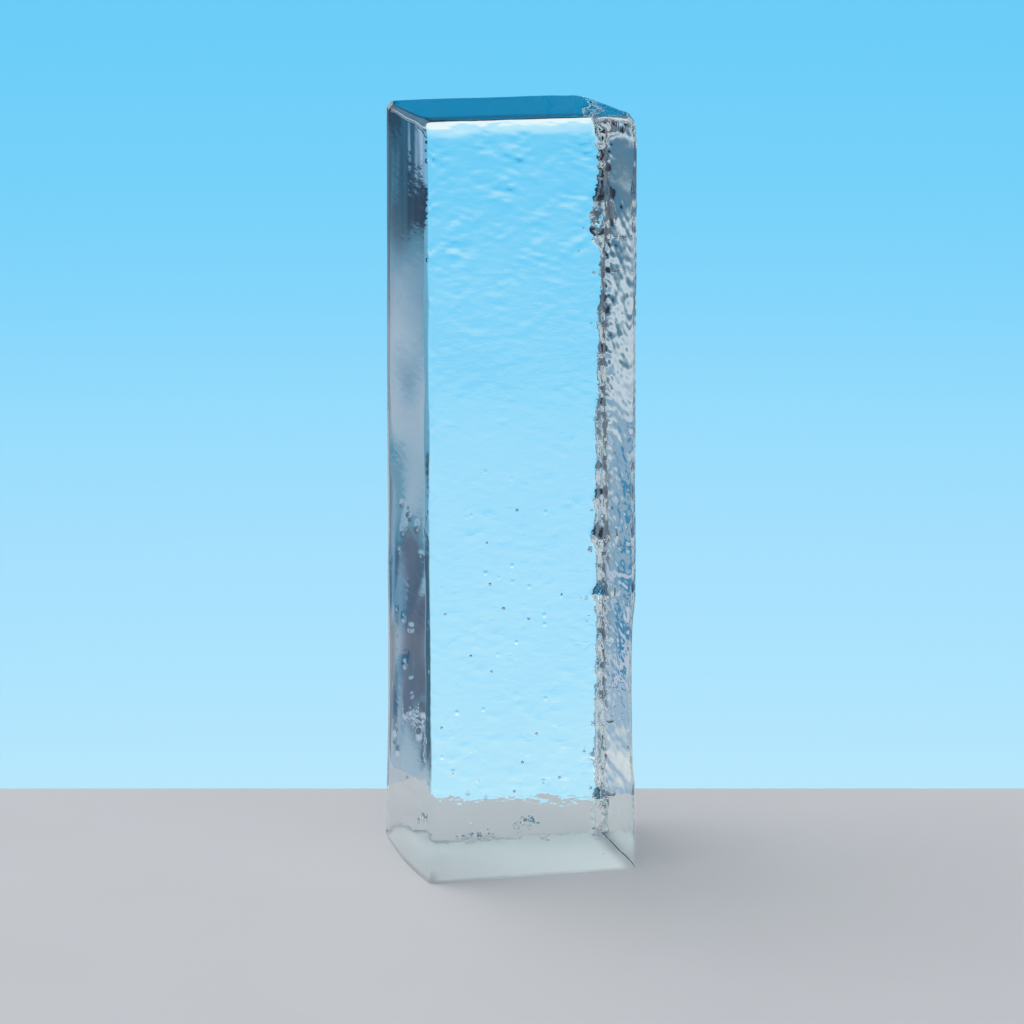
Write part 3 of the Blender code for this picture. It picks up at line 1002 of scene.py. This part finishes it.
def with_bubbles(points, cells):
    """Add the hollow balls to a surface, each with its faces turned inwards."""
    ball_points, ball_cells = ball_lattice()
    for *middle, radius in BUBBLES:
        cells = np.concatenate([cells, ball_cells[:, ::-1] + len(points)])
        points = np.concatenate([points, np.array(middle) + radius * ball_points])
    return points, cells


ice_points, ice_cells = with_bubbles(ice_points, block_cells)
print("bubbles:", len(BUBBLES), "with", len(ice_cells) - len(block_cells), "cells")

# %% [markdown]
# ## The ice
# Ice bends light a little less than glass does. Its blue is faint and comes from the depth of ice
# that light has passed through, so it belongs to the volume. The surface is wet: roughness would
# cloud it, so its finest detail is bump, chosen by place. The side faces and the front have a fine
# grain, and the front has short waves, with specks and scuffs in its lower half.

# %% Where each kind of bump lies
RIGHT_ZONE, LEFT_ZONE, LOW_ZONE = (0.0140, 0.0155), (-0.0150, -0.0162), (0.080, 0.045)
FRONT_ZONE, FRONT_RIGHT, FRONT_LEFT = (-0.0108, -0.0132), (0.014, 0.010), (-0.0154, -0.0140)


def places_on_ice(tree, place):
    """How far a point is on the right, left and front faces, and in the lower half: 0 to 1."""
    x, y, z = feed(tree, add_node(tree, "ShaderNodeSeparateXYZ"), place).outputs
    front = ease(tree, y, *FRONT_ZONE)
    front = product(tree, front, ease(tree, x, *FRONT_RIGHT), ease(tree, x, *FRONT_LEFT))
    return ease(tree, x, *RIGHT_ZONE), ease(tree, x, *LEFT_ZONE), front, ease(tree, z, *LOW_ZONE)


def pattern(tree, place, kind, scale, **settings):
    """A noise or cell pattern at its own scale along each axis, in counts per metre."""
    mapping = set_inputs(add_node(tree, "ShaderNodeMapping"), Scale=scale)
    tree.links.new(place, mapping.inputs["Vector"])
    node = set_inputs(add_node(tree, kind), Scale=1, **settings)
    tree.links.new(mapping.outputs[0], node.inputs["Vector"])
    return node


print("side grain from x =", LEFT_ZONE[0], "and", RIGHT_ZONE[0], "m")

# %% Heights of the bump
# Scales are counts per metre along each axis, and heights are in metres.
GRAIN_SCALE, GRAIN_HEIGHT = (900, 300, 900), 0.00006
GRAIN_RIGHT, GRAIN_LEFT, GRAIN_FRONT = 0.17, 0.12, 0.16
WAVE_SCALE, WAVE_HEIGHT = (600, 600, 1300), 0.00005
SPECK_SCALE, SPECK_RADIUS, SPECK_DEPTH = (420,) * 3, 0.22, 0.00014
SPECK_CHOICE, SCUFF_CHOICE = (0.62, 0.64), (0.60, 0.72)
PATCH_SCALE, SCUFF_SCALE, SCUFF_HEIGHT = (420,) * 3, (2000,) * 3, 0.00006


def grain_and_waves(tree, place, right, left, front):
    """Fine noise, by its own share on each face, plus waves that are shorter up the height."""
    grain = pattern(tree, place, "ShaderNodeTexNoise", GRAIN_SCALE, Detail=2).outputs[0]
    share = product(tree, right, GRAIN_RIGHT)
    share = maths(tree, "MULTIPLY_ADD", left, GRAIN_LEFT, share)
    share = maths(tree, "MULTIPLY_ADD", front, GRAIN_FRONT, share)
    waves = pattern(tree, place, "ShaderNodeTexNoise", WAVE_SCALE, Detail=2).outputs[0]
    heights = product(tree, grain, share, GRAIN_HEIGHT), product(tree, waves, front, WAVE_HEIGHT)
    return maths(tree, "ADD", *heights)


def specks_and_scuffs(tree, place, front, low, height):
    """Round dips at scattered points, some cells only, and rough patches picked by slow noise."""
    cells = pattern(tree, place, "ShaderNodeTexVoronoi", SPECK_SCALE)
    tones = feed(tree, add_node(tree, "ShaderNodeSeparateColor"), cells.outputs["Color"])
    chosen = ease(tree, tones.outputs[0], *SPECK_CHOICE)
    dip = ease(tree, cells.outputs["Distance"], SPECK_RADIUS, 0)
    speck = product(tree, dip, chosen, front, low)
    height = maths(tree, "MULTIPLY_ADD", speck, -SPECK_DEPTH, height)
    patch = pattern(tree, place, "ShaderNodeTexNoise", PATCH_SCALE, Detail=1).outputs[0]
    patch = product(tree, ease(tree, patch, *SCUFF_CHOICE), product(tree, front, low))
    scuff = pattern(tree, place, "ShaderNodeTexNoise", SCUFF_SCALE, Detail=1).outputs[0]
    return maths(tree, "MULTIPLY_ADD", product(tree, scuff, patch), SCUFF_HEIGHT, height)


print("waves", WAVE_HEIGHT, "m high, specks", SPECK_DEPTH, "m deep")

# %% Clear ice
ICE_IOR = 1.31
ICE_TINT, ICE_TINT_DENSITY = (0.10, 0.93, 0.96, 1), 2.8


def ice_finish():
    """Clear ice: full transmission, a wet surface with its bump, and a faint tint in the volume."""
    material = bpy.data.materials.new("clear_ice")
    material.use_nodes = True
    tree = material.node_tree
    shader = tree.nodes["Principled BSDF"]
    set_inputs(shader, Base_Color=(1,) * 4, Roughness=0, IOR=ICE_IOR, Transmission_Weight=1)
    place = add_node(tree, "ShaderNodeTexCoord").outputs["Object"]
    right, left, front, low = places_on_ice(tree, place)
    height = grain_and_waves(tree, place, right, left, front)
    height = specks_and_scuffs(tree, place, front, low, height)
    bump = set_inputs(add_node(tree, "ShaderNodeBump"), Strength=1, Distance=1)
    tree.links.new(height, bump.inputs["Height"])
    tree.links.new(bump.outputs[0], shader.inputs["Normal"])
    tint = add_node(tree, "ShaderNodeVolumeAbsorption")
    set_inputs(tint, Color=ICE_TINT, Density=ICE_TINT_DENSITY)
    tree.links.new(tint.outputs[0], tree.nodes["Material Output"].inputs["Volume"])
    return material


clear_ice = ice_finish()
print("clear ice:", len(clear_ice.node_tree.nodes), "nodes")

# %% [markdown]
# ## The finished block
# The outer surface and the bubbles are one mesh, because they bound the same ice. It rides on the
# object's one body and stands for its solid.

# %% Ice block
def make_piece(name, points, cells, material):
    """A smooth mesh object of four-sided cells, at the origin."""
    mesh = bpy.data.meshes.new(name)
    mesh.vertices.add(len(points))
    mesh.vertices.foreach_set("co", points.ravel())
    mesh.loops.add(cells.size)
    mesh.loops.foreach_set("vertex_index", cells.ravel())
    mesh.polygons.add(len(cells))
    mesh.polygons.foreach_set("loop_start", np.arange(0, cells.size, 4))
    mesh.update(calc_edges=True)
    mesh.shade_smooth()
    mesh.materials.append(material)
    piece = bpy.data.objects.new(name, mesh)
    scene.collection.objects.link(piece)
    return piece


ice = make_piece("clear_ice_block", ice_points, ice_cells, clear_ice)
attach(ice, "root")
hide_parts("ice_stick")
print("ice:", len(ice.data.vertices), "points,", len(ice.data.polygons), "cells")
